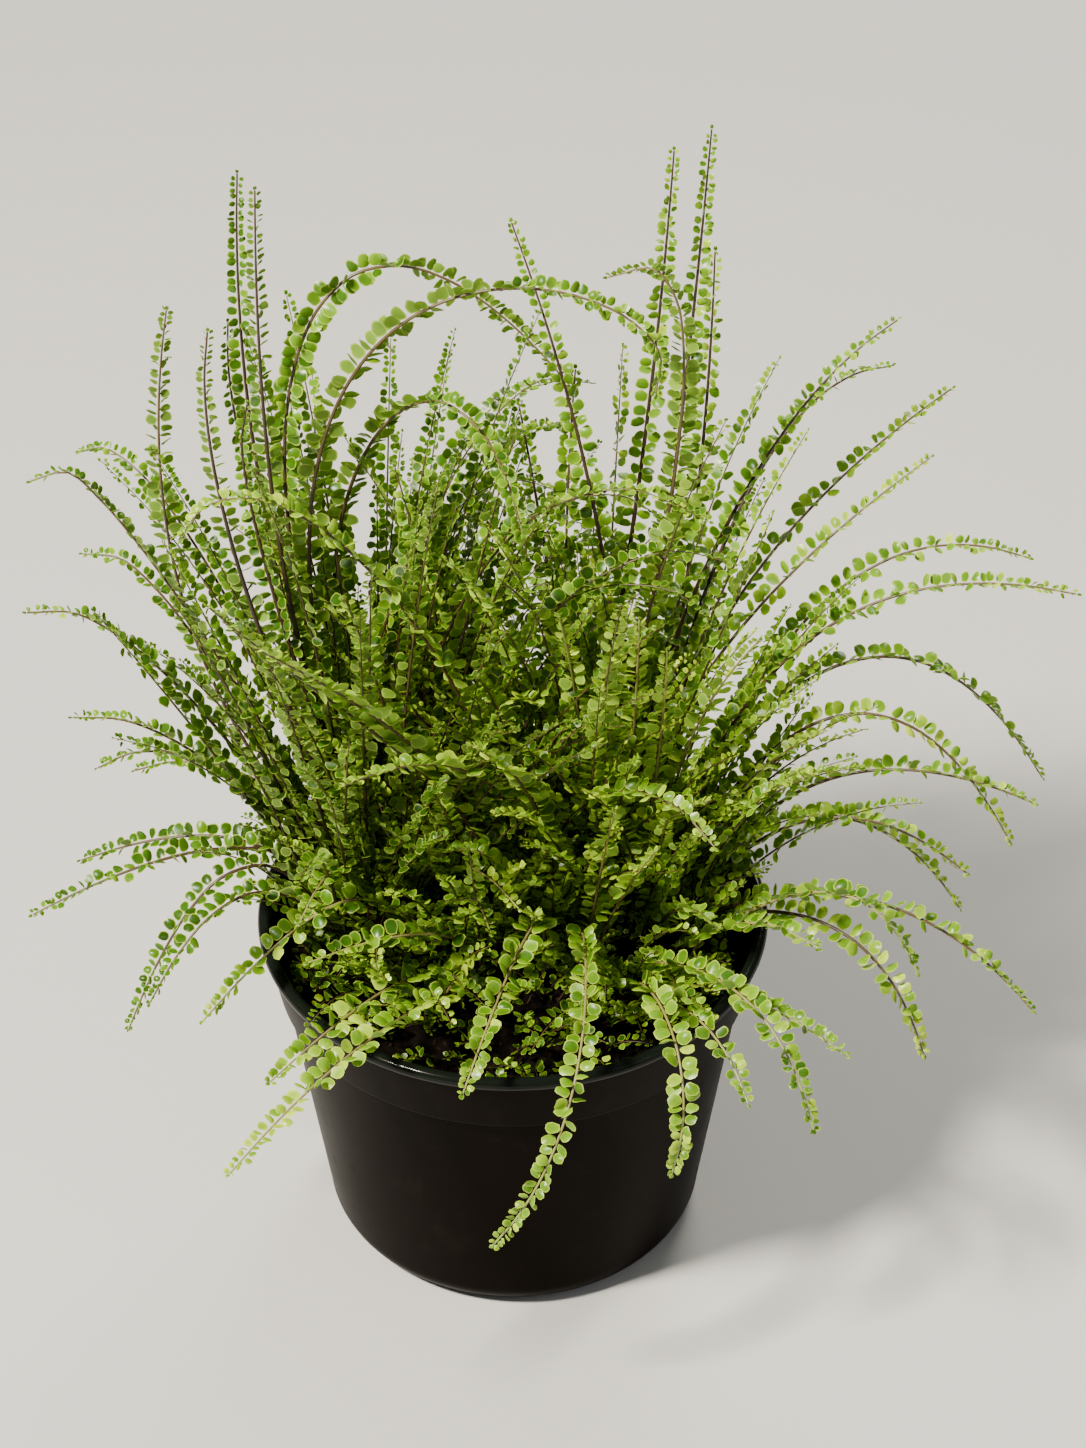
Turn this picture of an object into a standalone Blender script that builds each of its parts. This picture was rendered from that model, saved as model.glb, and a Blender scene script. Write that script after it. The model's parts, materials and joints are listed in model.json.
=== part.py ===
"""Button fern in a black grower's pot: the pot, its soil and the fronds of a two-crowned plant.

Lengths in this file are millimetres, turned into metres where an object's mesh is made.
The origin is the middle of the pot's underside, +Z is up and -Y is the plant's front.
"""
import math
import random

import bmesh
import bpy
from mathutils import Matrix, Vector
from mathutils.bvhtree import BVHTree

MM = 0.001

# Pot: a 17 cm grower's pot with a rolled lip, a collar and a drained floor
RIM_RADIUS = 85.0
POT_HEIGHT = 125.0
FOOT_RADIUS = 64.5
WALL = 1.8
FLOOR = 2.0
CORNER = 10.5
CORNER_INSIDE = 5.8
DISH = 1.0
COLLAR_DROP = 24.0
COLLAR_STEP = 1.9
COLLAR_EDGE = 1.2
LIP_ROLL = 2.2
ROUND_SIDES = 48
SHARP_FROM = math.radians(35.0)
DRAIN_COUNT = 8
DRAIN_RADIUS = 4.5
DRAIN_CIRCLE = 46.0
DRAIN_SIDES = 8

# Soil: fills the pot to 16 mm under the rim, and a little lower at the wall
SEAT_GAP = 0.35
SOIL_TOP = 109.0
SOIL_EDGE = 106.0
SOIL_FLAT = 68.0

# Stems: each stands in its own hole, upright, and starts to lean above the soil
STEM_RADIUS = 1.15
RIB_RADIUS = 0.8
TIP_RIB_RADIUS = 0.55
ROOT_DEPTH = 10.0
HOLE_DEPTH = ROOT_DEPTH + SEAT_GAP
HOLE_SIDES = 6
ROOT_SPACING = 6.0
NECK = 3.0
KNOT = 8.0
STEM_STEP = 24.0
TWIN_OFFSET = 0.9
TWIN_RISE = 1.5
SLIVER = 0.06

# Leaflets: round buttons in two rows, drawn here three to one along the rib
LEAFLET_PITCH = 15.0
LOBE = (0.22, 0.76)
HALF_WIDTH = 6.6
FOOT_WIDTH = 0.62
FOOT_RUN = 0.18
TIP_WIDTH = 0.34
TIP_RUN = 0.55
NOTCH = 0.85
CUP = math.radians(30.0)
CUP_SPREAD = math.radians(8.0)
ROLL_SPREAD = math.radians(16.0)
FACE_SHARE = 0.75
LEAN_LEAST = 0.2
LEAN_FULL = 0.5
BARE_SHARE = 0.2
BARE_LEAST = 10.0

# Settling: how a frond gives way to those already standing
CLEARANCE = 0.45
TURN_STEP = math.radians(0.7)
LIFT_STEP = 1.0
ROOT_STEP = 0.15
TRIES = 900
SOIL_CLEAR = 1.0
FOOT_CLEAR = 20.0
SEED = 17

BLACK_PLASTIC = (0.012, 0.012, 0.011)
PEAT = (0.035, 0.020, 0.012)
LEAF_GREENS = ((0.12, 0.30, 0.025), (0.20, 0.42, 0.04), (0.30, 0.52, 0.06))

# Tufts: the root on the soil, then one or two fronds. A frond is the point or points that it
# bends towards and its tip. Read from the picture along each frond's own line of sight.
TUFTS = (
    # Long arches from the left crown, over the top of the plant
    ((-47, 34), ((-125, 45, 410), (70, 30, 355), (45, 30, 310))),
    ((-43, 48), ((-105, 50, 280), (-65, 60, 415), (20, 72, 283))),
    ((-36, 44), ((-100, 90, 215), (-15, 25, 390), (5, 10, 262))),
    ((26, 46), ((51, 42, 234), (72, 38, 377), (30, 37, 348))),
    # Front right, two of them hanging in front of the pot
    ((22, -4), ((22, -40, 175), (34, -125, 148), (-6, -112, 80))),
    ((38, -27), ((42, -50, 150), (62, -105, 152), (51, -98, 98)), ((62, -75, 155), (70, -100, 138))),
    ((36, -14), ((80, -75, 175), (95, -100, 120)), ((70, -55, 145), (97, -95, 150))),
    ((57, -8), ((75, -30, 156), (97, -60, 160)), ((110, -33, 190), (130, -50, 141))),
    # Front left, low and hanging over the rim
    ((-8, -20), ((-45, -85, 155), (-85, -140, 140)), ((-15, -25, 150), (-65, -50, 145))),
    ((10, -22), ((15, -10, 170), (-15, -100, 135))),
    ((-24, -26), ((-30, -35, 140), (-75, -100, 140))),
    ((-36, -12), ((-40, -15, 180), (-100, -50, 120))),
    # Left crown, fanning out low to the left
    ((-55, -8), ((-85, -23, 215), (-125, -45, 112)), ((-83, -38, 200), (-115, -65, 143))),
    ((-62, 5), ((-70, 2, 180), (-155, -30, 148)), ((-72, 8, 172), (-137, 15, 136))),
    ((-56, 14), ((-104, 6, 208), (-142, 0, 205)), ((-119, -8, 268), (-152, -20, 262))),
    ((-62, 23), ((-103, 26, 192), (-138, 28, 162)), ((-115, 46, 252), (-141, 58, 228))),
    ((-54, 27), ((-136, 22, 320), (-150, 20, 284)), ((-134, 80, 172), (-109, 65, 318))),
    ((-57, 35), ((-88, 46, 162), (-125, 60, 132)), ((-118, 76, 276), (-147, 95, 240))),
    # Left crown, upright at the back
    ((-39, 28), ((-84, 30, 200), (-76, 28, 384))),
    ((-50, 43), ((-96, 95, 220), (-86, 85, 356))),
    ((-46, 20), ((-101, -5, 290), (-90, 0, 352)), ((-94, 33, 280), (-82, 30, 306))),
    ((-37, 54), ((-100, 102, 225), (-93, 100, 291))),
    # Right crown, fanning out to the right
    ((55, 5), ((120, -20, 175), (170, -40, 115))),
    ((64, 8), ((115, -30, 165), (135, -45, 100))),
    ((51, 26), ((80, 30, 260), (180, 20, 240)), ((110, 20, 255), (165, 10, 145))),
    ((53, 34), ((113, 20, 180), (150, 10, 116)), ((95, 50, 265), (170, 60, 225))),
    ((61, 19), ((95, 15, 200), (170, 0, 170)), ((100, 10, 185), (150, 0, 140))),
    ((47, 42), ((50, 50, 220), (145, 100, 265)), ((110, 40, 265), (170, 45, 140))),
    ((44, 33), ((40, 32, 200), (135, 60, 265))),
    # Right crown, upright at the back
    ((36, 42), ((55, 78, 240), (63, 95, 366))),
    ((23, 56), ((45, 78, 240), (51, 85, 364)), ((15, 62, 205), (2, 90, 266))),
    ((33, 57), ((60, 62, 272), (110, 75, 305))),
    ((42, 50), ((70, 70, 288), (122, 100, 265)), ((65, 90, 210), (66, 110, 312))),
    ((34, 33), ((44, 20, 240), (0, 90, 335))),
    # Middle, arching to the left and towards the front
    ((8, 9), ((-14, 6, 263), (-86, -7, 327), (-101, -10, 283)), ((5, -8, 215), (-50, -70, 235))),
    ((-6, -6), ((4, 0, 173), (-51, -35, 229), (-89, -60, 295))),
    ((1, 0), ((12, 8, 175), (-59, -60, 282))),
    ((13, 3), ((0, 20, 140), (36, -24, 223), (63, -60, 202)), ((15, 0, 190), (-15, -40, 247))),
    ((19, 38), ((35, 45, 190), (-3, 0, 260)), ((14, 62, 215), (19, 75, 292))),
    ((1, 22), ((5, 30, 170), (-10, -10, 229)), ((20, 30, 180), (-4, 0, 250))),
    ((-14, 38), ((-15, 35, 180), (-37, 40, 275)), ((-5, 30, 200), (10, -5, 205))),
    ((-28, 30), ((-40, 15, 200), (-52, 0, 253))),
    # Young fronds of the right crown
    ((50, 17), ((48, 20, 180), (77, -20, 252)), ((60, 0, 170), (100, -20, 200))),
    ((37, 22), ((40, 0, 210), (40, -10, 252))),
    ((25, 22), ((25, 15, 190), (15, -5, 250))),
    ((29, 10), ((32, 0, 180), (30, -15, 240)), ((45, -5, 170), (62, -35, 200))),
    ((40, 9), ((48, 0, 200), (45, -15, 245))),
    ((24, -13), ((22, -18, 160), (18, -40, 200)), ((35, -15, 150), (40, -45, 190))),
)

# Young fronds that fill the crowns and the back, spread by the golden angle
CROWNS = (
    # middle x and y, spread, count, first bearing in degrees, least and most reach, tip height
    (-44, 22, 17, 3, 200, 45, 70, 150),
    (-22, 8, 13, 4, 150, 45, 75, 150),
    (-10, 56, 10, 3, 60, 45, 80, 215),
)
GOLDEN_ANGLE = math.radians(137.508)
YOUNG_SEED = 5
YOUNG_BOW = 0.35
YOUNG_RISE = 10.0
HEIGHT_SPREAD = 15.0


def clear_scene():
    for obj in list(bpy.data.objects):
        bpy.data.objects.remove(obj, do_unlink=True)


def plain_material(name, colour, roughness, metallic=0.0):
    material = bpy.data.materials.new(name)
    material.use_nodes = True
    shader = material.node_tree.nodes["Principled BSDF"]
    shader.inputs["Base Color"].default_value = (*colour, 1.0)
    shader.inputs["Roughness"].default_value = roughness
    shader.inputs["Metallic"].default_value = metallic
    return material


def add_object(name, mesh, material):
    mesh.materials.append(material)
    obj = bpy.data.objects.new(name, mesh)
    bpy.context.collection.objects.link(obj)
    return obj


def smooth_round(obj):
    obj.data.shade_smooth()
    obj.data.set_sharp_from_angle(angle=SHARP_FROM)


def turned_mesh(name, profile):
    """Spin a closed outline of (radius, height) points about the pot's axis."""
    bm = bmesh.new()
    verts = [bm.verts.new((radius * MM, 0.0, height * MM)) for radius, height in profile]
    edges = [bm.edges.new(pair) for pair in zip(verts, verts[1:])]
    bmesh.ops.spin(bm, geom=verts + edges, cent=(0, 0, 0), axis=(0, 0, 1), dvec=(0, 0, 0),
                   angle=math.tau, steps=ROUND_SIDES, use_merge=True, use_duplicate=False)
    bmesh.ops.remove_doubles(bm, verts=bm.verts, dist=1e-6)
    bmesh.ops.recalc_face_normals(bm, faces=bm.faces)
    mesh = bpy.data.meshes.new(name)
    bm.to_mesh(mesh)
    bm.free()
    return mesh


def prism(name, x, y, low, high, radius, sides):
    """An upright prism, used as a cutter for a drain or a stem's hole."""
    bm = bmesh.new()
    bmesh.ops.create_cone(bm, cap_ends=True, segments=sides, radius1=radius * MM,
                          radius2=radius * MM, depth=(high - low) * MM)
    bmesh.ops.translate(bm, verts=bm.verts, vec=Vector((x, y, (low + high) / 2)) * MM)
    mesh = bpy.data.meshes.new(name)
    bm.to_mesh(mesh)
    bm.free()
    obj = bpy.data.objects.new(name, mesh)
    obj.hide_render = True
    obj.display_type = "WIRE"
    return obj


def boolean_with(target, others, operation, solver="EXACT"):
    """Apply one Boolean of a whole collection to target, then remove the collection's objects."""
    group = bpy.data.collections.new(target.name + " " + operation.lower())
    bpy.context.scene.collection.children.link(group)
    for other in others:
        group.objects.link(other)
    modifier = target.modifiers.new(operation.title(), "BOOLEAN")
    modifier.operation = operation
    modifier.operand_type = "COLLECTION"
    modifier.collection = group
    modifier.solver = solver
    evaluated = target.evaluated_get(bpy.context.evaluated_depsgraph_get())
    result = bpy.data.meshes.new_from_object(evaluated)
    target.modifiers.clear()
    spent = target.data
    target.data = result
    bpy.data.meshes.remove(spent)
    for other in others:
        bpy.data.objects.remove(other, do_unlink=True)
    bpy.data.collections.remove(group)


def drop_slivers(mesh, distance):
    """Weld the tiny edges that a union leaves, unless that would open the surface."""
    bm = bmesh.new()
    bm.from_mesh(mesh)
    bmesh.ops.remove_doubles(bm, verts=bm.verts, dist=distance * MM)
    bmesh.ops.dissolve_degenerate(bm, edges=bm.edges, dist=distance * MM / 2)
    bmesh.ops.triangulate(bm, faces=bm.faces)
    if all(edge.is_manifold for edge in bm.edges):
        bm.to_mesh(mesh)
    bm.free()


def wall_radius(height):
    """Radius of the pot's outer wall, which widens evenly from the foot to under the lip."""
    top = RIM_RADIUS - LIP_ROLL - COLLAR_STEP
    share = (height - CORNER) / (POT_HEIGHT - CORNER)
    return FOOT_RADIUS + (top - FOOT_RADIUS) * share


def arc(centre_x, centre_z, radius, start, end, count):
    """Points on an arc, from the start angle to the end angle in degrees."""
    points = []
    for step in range(count + 1):
        angle = math.radians(start + (end - start) * step / count)
        points.append((centre_x + radius * math.cos(angle), centre_z + radius * math.sin(angle)))
    return points


def pot_profile():
    collar = POT_HEIGHT - COLLAR_DROP
    lip = POT_HEIGHT - LIP_ROLL
    lip_centre = RIM_RADIUS - LIP_ROLL
    outer = [(0.0, 0.0), (FOOT_RADIUS - CORNER, 0.0)]
    outer += arc(FOOT_RADIUS - CORNER, CORNER, CORNER, -68, -4, 3)
    outer += [(wall_radius(collar - COLLAR_EDGE), collar - COLLAR_EDGE)]
    outer += [(wall_radius(collar) + COLLAR_STEP, collar)]
    outer += [(lip_centre + LIP_ROLL / 5, lip - LIP_ROLL)]
    outer += arc(lip_centre, lip, LIP_ROLL, -35, 205, 5)
    floor_edge = FOOT_RADIUS - WALL
    inner = [(wall_radius(collar) - WALL, collar)]
    inner += [(wall_radius(CORNER) - WALL, CORNER)]
    inner += [(floor_edge - CORNER_INSIDE, FLOOR + DISH), (floor_edge - CORNER, FLOOR), (0.0, FLOOR)]
    return outer + inner


def make_pot():
    pot = add_object("pot", turned_mesh("pot", pot_profile()),
                     plain_material("black grower plastic", BLACK_PLASTIC, 0.42))
    drains = []
    for index in range(DRAIN_COUNT):
        angle = math.tau * (index + 0.5) / DRAIN_COUNT
        drains.append(prism("drain", DRAIN_CIRCLE * math.cos(angle), DRAIN_CIRCLE * math.sin(angle),
                            -FLOOR, 2 * FLOOR, DRAIN_RADIUS, DRAIN_SIDES))
    boolean_with(pot, drains, "DIFFERENCE")
    smooth_round(pot)
    return pot


def make_soil(holes):
    """The soil's top is flat where stems stand and falls away to the wall; holes are x, y, radius."""
    def inside(height):
        return wall_radius(height) - WALL - SEAT_GAP
    floor_edge = FOOT_RADIUS - WALL - SEAT_GAP
    low = FLOOR + SEAT_GAP
    profile = [(0.0, low), (floor_edge - CORNER, low)]
    profile += [(floor_edge - CORNER_INSIDE, low + DISH), (inside(CORNER) - SEAT_GAP / 2, CORNER)]
    profile += [(inside(SOIL_EDGE) - SEAT_GAP / 2, SOIL_EDGE), (SOIL_FLAT, SOIL_TOP), (0.0, SOIL_TOP)]
    soil = add_object("soil", turned_mesh("soil", profile), plain_material("peat soil", PEAT, 0.95))
    cutters = []
    for x, y, radius in holes:
        cutters.append(prism("hole", x, y, SOIL_TOP - HOLE_DEPTH, SOIL_TOP + NECK, radius, HOLE_SIDES))
    boolean_with(soil, cutters, "DIFFERENCE")
    smooth_round(soil)
    return soil


class FrondLine:
    """The run of a frond's rib: upright out of its hole, then one smooth bow to the tip."""
    SAMPLES = 48

    def __init__(self, root, points, low=ROOT_DEPTH):
        x, y = root
        self.root = Vector((x, y, SOIL_TOP - low))
        neck = Vector((x, y, SOIL_TOP + NECK))
        handles = [neck] + [Vector(point) for point in points]
        self.points = [self.root]
        for step in range(self.SAMPLES + 1):
            self.points.append(self.on_bow(handles, step / self.SAMPLES))
        self.lengths = [0.0]
        for start, end in zip(self.points, self.points[1:]):
            self.lengths.append(self.lengths[-1] + (end - start).length)
        self.length = self.lengths[-1]
        self.neck = self.lengths[1]
        reach = (self.points[-1] - neck).to_2d()
        across = Vector((-reach.y, reach.x, 0.0)).normalized()
        if across.x < 0.0:
            across.negate()
        lean = reach.length / (self.length - self.neck)
        flat = min(max((lean - LEAN_LEAST) / (LEAN_FULL - LEAN_LEAST), 0.0), 1.0)
        self.across = (across * flat + Vector((1.0, 0.0, 0.0)) * (1.0 - flat)).normalized()
        if self.frame(self.length * FACE_SHARE, 0.0)[2].z < 0.0:
            self.across.negate()

    @staticmethod
    def on_bow(handles, share):
        """A point of the Bezier curve through its end handles, by repeated mixing."""
        level = handles
        while len(level) > 1:
            level = [start.lerp(end, share) for start, end in zip(level, level[1:])]
        return level[0]

    def frame(self, distance, roll):
        """The point at a distance along the rib, with its width and upward directions."""
        index = 1
        while index < len(self.lengths) - 1 and self.lengths[index] < distance:
            index += 1
        start, end = self.points[index - 1], self.points[index]
        span = self.lengths[index] - self.lengths[index - 1]
        share = min(max((distance - self.lengths[index - 1]) / span, 0.0), 1.0)
        before = self.points[max(index - 2, 0)]
        after = self.points[min(index + 1, len(self.points) - 1)]
        tangent = (after - before).normalized()
        if distance <= self.neck * 0.5:
            tangent = Vector((0.0, 0.0, 1.0))
        side = (self.across - tangent * self.across.dot(tangent)).normalized()
        side = Matrix.Rotation(roll, 3, tangent) @ side
        return start.lerp(end, share), side, side.cross(tangent)


def leaflet_half_width(share):
    """Half the frond's width along its leafy run: narrow at the foot, full, then fine at the tip."""
    rise = min(share / FOOT_RUN, 1.0)
    fall = min((1.0 - share) / TIP_RUN, 1.0)
    return HALF_WIDTH * (FOOT_WIDTH + (1.0 - FOOT_WIDTH) * rise) * (TIP_WIDTH + (1.0 - TIP_WIDTH) * fall)


class FrondShape:
    """Vertices and triangles of one frond: a four-sided stem and two rows of lobed leaflets."""

    def __init__(self, line, roll, cup, grow=0.0):
        self.verts = []
        self.faces = []
        self.line, self.roll, self.cup, self.grow = line, roll, cup, grow
        self.chains = {"top": [], "left": [], "bottom": [], "right": []}
        leafy = line.neck + max((line.length - line.neck) * BARE_SHARE, BARE_LEAST)
        self.stem(leafy)
        self.leaflets(leafy)
        self.skin()

    def add(self, chain, distance, out, lift):
        point, side, up = self.line.frame(distance, self.roll)
        self.chains[chain].append((distance, len(self.verts)))
        self.verts.append(point + side * out + up * lift)

    def ring(self, distance, radius, width):
        radius += self.grow
        self.add("top", distance, 0.0, radius)
        self.add("left", distance, -width - self.grow, 0.0)
        self.add("bottom", distance, 0.0, -radius)
        self.add("right", distance, width + self.grow, 0.0)

    def stem(self, leafy):
        self.ring(0.0, STEM_RADIUS, STEM_RADIUS)
        self.ring(self.line.neck, STEM_RADIUS, STEM_RADIUS)
        count = max(1, round((leafy - self.line.neck) / STEM_STEP))
        for step in range(1, count):
            distance = self.line.neck + (leafy - self.line.neck) * step / count
            self.ring(distance, STEM_RADIUS, STEM_RADIUS)

    def leaflets(self, leafy):
        run = self.line.length - leafy
        count = max(3, round(run / LEAFLET_PITCH))
        pitch = run / count
        for index in range(count):
            start = leafy + pitch * index
            rib = RIB_RADIUS + (TIP_RIB_RADIUS - RIB_RADIUS) * index / count + self.grow
            self.add("top", start, 0.0, rib)
            self.add("bottom", start, 0.0, -rib)
            for chain, sign, shift in (("left", -1.0, 0.0), ("right", 1.0, 0.5)):
                first = start + pitch * shift
                cut_short = shift > 0.0 and index == count - 1
                self.add(chain, first, sign * (NOTCH + self.grow), 0.0)
                for share in LOBE[:1] if cut_short else LOBE:
                    distance = first + pitch * share
                    width = leaflet_half_width((distance - leafy) / run) + self.grow
                    out = sign * width * math.cos(self.cup)
                    self.add(chain, distance, out, width * math.sin(self.cup))
        point, side, up = self.line.frame(self.line.length, self.roll)
        self.tip = len(self.verts)
        self.verts.append(point)

    def skin(self):
        order = ("top", "left", "bottom", "right")
        for name, following in zip(order, order[1:] + order[:1]):
            self.bridge(self.chains[name], self.chains[following])
        first = [self.chains[name][0][1] for name in order]
        self.faces.append((first[0], first[1], first[2]))
        self.faces.append((first[0], first[2], first[3]))

    def bridge(self, near, far):
        """Fill between two runs of vertices, always stepping along the one that lags."""
        i = j = 0
        while i < len(near) - 1 or j < len(far) - 1:
            step_near = j == len(far) - 1 or (i < len(near) - 1 and near[i + 1][0] <= far[j + 1][0])
            if step_near:
                self.faces.append((near[i][1], near[i + 1][1], far[j][1]))
                i += 1
            else:
                self.faces.append((near[i][1], far[j + 1][1], far[j][1]))
                j += 1
        self.faces.append((near[i][1], self.tip, far[j][1]))


class Thicket:
    """All fronds placed so far, with the pot, so that the next one can be bent clear of them."""

    def __init__(self, pot):
        verts = [vert.co / MM for vert in pot.data.vertices]
        faces = [tuple(face.vertices) for face in pot.data.polygons]
        self.trees = [BVHTree.FromPolygons(verts, faces)]
        self.roots = []
        self.random = None

    @staticmethod
    def drags(shape):
        """Whether any part past the neck lies in the soil, or hangs below the pot's foot."""
        outline = shape.chains["bottom"] + shape.chains["left"] + shape.chains["right"]
        for distance, index in outline:
            vert = shape.verts[index]
            lowest = SOIL_TOP + SOIL_CLEAR if vert.to_2d().length < RIM_RADIUS else FOOT_CLEAR
            if distance > shape.line.neck and vert.z < lowest:
                return True
        return False

    def is_clear(self, shape, twin):
        if self.drags(shape):
            return False
        tree = BVHTree.FromPolygons(shape.verts, shape.faces)
        if any(tree.overlap(other) for other in self.trees):
            return False
        return twin is None or not tree.overlap(twin)

    def vary(self, reach):
        """A random sideways shift in the plane of the soil."""
        return Vector((self.random.gauss(0.0, reach), self.random.gauss(0.0, reach), 0.0))

    def settle(self, root, points, twin=None):
        """Turn, lift and bow a frond a little more with each try until it stands clear."""
        low = ROOT_DEPTH if twin is None else ROOT_DEPTH - TWIN_RISE
        self.random = random.Random(SEED + len(self.trees) + (twin is not None))
        for attempt in range(TRIES):
            reach = math.sqrt(attempt)
            roll = self.random.uniform(-ROLL_SPREAD, ROLL_SPREAD)
            cup = CUP + self.random.uniform(-CUP_SPREAD, CUP_SPREAD)
            turn = self.random.gauss(0.0, TURN_STEP) * reach
            lift = self.random.gauss(0.0, LIFT_STEP) * reach
            slide = self.vary(LIFT_STEP * reach)
            foot = Vector((*root, 0.0))
            if twin is None:
                foot += self.vary(ROOT_STEP * reach)
                if any((foot.to_2d() - other).length < ROOT_SPACING for other in self.roots):
                    continue
            line = FrondLine(foot.to_2d(), self.bend(foot, points, turn, lift, slide), low)
            if self.is_clear(FrondShape(line, roll, cup, CLEARANCE), twin):
                return FrondShape(line, roll, cup)
        raise ValueError("no clear place for the frond rooted at %s %s" % tuple(root))

    @staticmethod
    def bend(foot, points, turn, lift, slide):
        spin = Matrix.Rotation(turn, 3, "Z")
        bent = []
        for number, point in enumerate(points, start=1):
            share = number / len(points)
            moved = foot + spin @ (Vector(point) - foot)
            bent.append(moved + (slide + Vector((0.0, 0.0, lift))) * share)
        return bent


def tree_above(shape, height):
    """A frond's own surface above its root knot, for keeping its twin clear of it."""
    faces = [face for face in shape.faces if min(shape.verts[index].z for index in face) > height]
    return BVHTree.FromPolygons(shape.verts, faces)


def frond_mesh(name, shape):
    mesh = bpy.data.meshes.new(name)
    mesh.from_pydata([vert * MM for vert in shape.verts], [], shape.faces)
    mesh.validate()
    return mesh


def young_tufts(taken):
    """Young single fronds by the golden angle, rooted where no older stem stands."""
    tufts = []
    chance = random.Random(YOUNG_SEED)
    for x, y, spread, count, bearing, least, most, tip_height in CROWNS:
        made = 0
        step = 0
        while made < count:
            step += 1
            angle = math.radians(bearing) + step * GOLDEN_ANGLE
            away = spread * math.sqrt(step / (2.0 * count))
            root = (x + away * math.cos(angle), y + away * math.sin(angle))
            if min(math.dist(root, other) for other in taken) < ROOT_SPACING:
                continue
            taken.append(root)
            reach = chance.uniform(least, most)
            height = tip_height + chance.uniform(-HEIGHT_SPREAD, HEIGHT_SPREAD)
            heading = Vector((math.cos(angle), math.sin(angle), 0.0))
            base = Vector((*root, 0.0))
            bow = base + heading * reach * YOUNG_BOW + Vector((0.0, 0.0, height + YOUNG_RISE))
            tip = base + heading * reach + Vector((0.0, 0.0, height))
            tufts.append((root, (tuple(bow), tuple(tip))))
            made += 1
    return tufts


def make_tuft(thicket, name, root, fronds, tone):
    """Settle one tuft and make its object; return its stem hole as x, y and radius."""
    shapes = [thicket.settle(root, fronds[0])]
    foot = shapes[0].line.root.to_2d()
    middle = foot
    room = STEM_RADIUS + SEAT_GAP
    if len(fronds) == 2:
        offset = Vector((TWIN_OFFSET, TWIN_OFFSET / 2))
        shapes.append(thicket.settle(foot + offset, fronds[1], tree_above(shapes[0], SOIL_TOP + NECK + KNOT)))
        middle = foot + offset / 2
        room += offset.length / 2
    thicket.roots.append(foot)
    for shape in shapes:
        thicket.trees.append(BVHTree.FromPolygons(shape.verts, shape.faces))
    obj = add_object(name, frond_mesh(name, shapes[0]), plain_material(name + " green", tone, 0.5))
    if len(fronds) == 2:
        twin = bpy.data.objects.new(name + " twin", frond_mesh(name + " twin", shapes[1]))
        boolean_with(obj, [twin], "UNION", "MANIFOLD")
        drop_slivers(obj.data, SLIVER)
    return middle.x, middle.y, room / math.cos(math.pi / HOLE_SIDES)


def make_fronds(pot):
    """Make every tuft in turn, each clear of those before it; return the stem holes."""
    thicket = Thicket(pot)
    tufts = list(TUFTS) + young_tufts([tuft[0] for tuft in TUFTS])
    holes = []
    for number, (root, *fronds) in enumerate(tufts, start=1):
        name = ("frond_%02d" if len(fronds) == 1 else "frond_pair_%02d") % number
        holes.append(make_tuft(thicket, name, root, fronds, LEAF_GREENS[number % len(LEAF_GREENS)]))
    return holes


def build():
    clear_scene()
    pot = make_pot()
    make_soil(make_fronds(pot))


build()
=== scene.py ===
"""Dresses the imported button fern: grower's pot, peat, wiry stems and rows of round leaflets."""

import heapq
import json
import math

import bmesh
import bpy
import numpy as np
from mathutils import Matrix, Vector

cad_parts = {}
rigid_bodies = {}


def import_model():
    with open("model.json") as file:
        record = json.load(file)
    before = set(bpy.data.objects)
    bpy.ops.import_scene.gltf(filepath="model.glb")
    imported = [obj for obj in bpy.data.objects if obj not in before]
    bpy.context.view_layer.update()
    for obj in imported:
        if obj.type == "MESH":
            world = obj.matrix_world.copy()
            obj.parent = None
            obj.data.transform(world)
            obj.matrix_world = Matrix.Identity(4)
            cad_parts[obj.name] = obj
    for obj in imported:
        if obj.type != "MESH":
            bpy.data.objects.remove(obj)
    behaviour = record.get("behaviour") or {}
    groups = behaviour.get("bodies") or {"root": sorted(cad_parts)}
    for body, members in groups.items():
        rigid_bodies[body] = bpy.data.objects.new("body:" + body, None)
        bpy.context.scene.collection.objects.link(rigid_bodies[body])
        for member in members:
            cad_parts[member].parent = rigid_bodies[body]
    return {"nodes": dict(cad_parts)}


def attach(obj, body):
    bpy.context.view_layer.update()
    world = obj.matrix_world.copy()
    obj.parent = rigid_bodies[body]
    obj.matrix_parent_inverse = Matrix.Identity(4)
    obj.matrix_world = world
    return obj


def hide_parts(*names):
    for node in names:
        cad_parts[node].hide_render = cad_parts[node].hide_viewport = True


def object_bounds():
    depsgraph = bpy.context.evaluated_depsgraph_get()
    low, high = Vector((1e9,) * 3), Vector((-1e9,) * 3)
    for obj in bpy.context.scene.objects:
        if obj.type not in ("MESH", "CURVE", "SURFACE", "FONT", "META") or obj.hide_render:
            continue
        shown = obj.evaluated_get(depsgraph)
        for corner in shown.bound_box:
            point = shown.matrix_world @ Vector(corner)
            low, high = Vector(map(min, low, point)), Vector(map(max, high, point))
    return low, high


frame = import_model()
cad_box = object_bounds()

MM = 0.001
SEED = 41

# Pot, in mm, as in the part's source
RIM_RADIUS = 85.0
POT_HEIGHT = 125.0
FOOT_RADIUS = 64.5
WALL = 1.8
FLOOR = 2.0
CORNER = 10.5
CORNER_INSIDE = 5.8
COLLAR_DROP = 24.0
COLLAR_STEP = 1.9
LIP_ROLL = 2.2
POT_SIDES = 144
DRAIN_COUNT = 8
DRAIN_RADIUS = 4.5
DRAIN_CIRCLE = 46.0
SHARP_FROM = math.radians(38.0)

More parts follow.
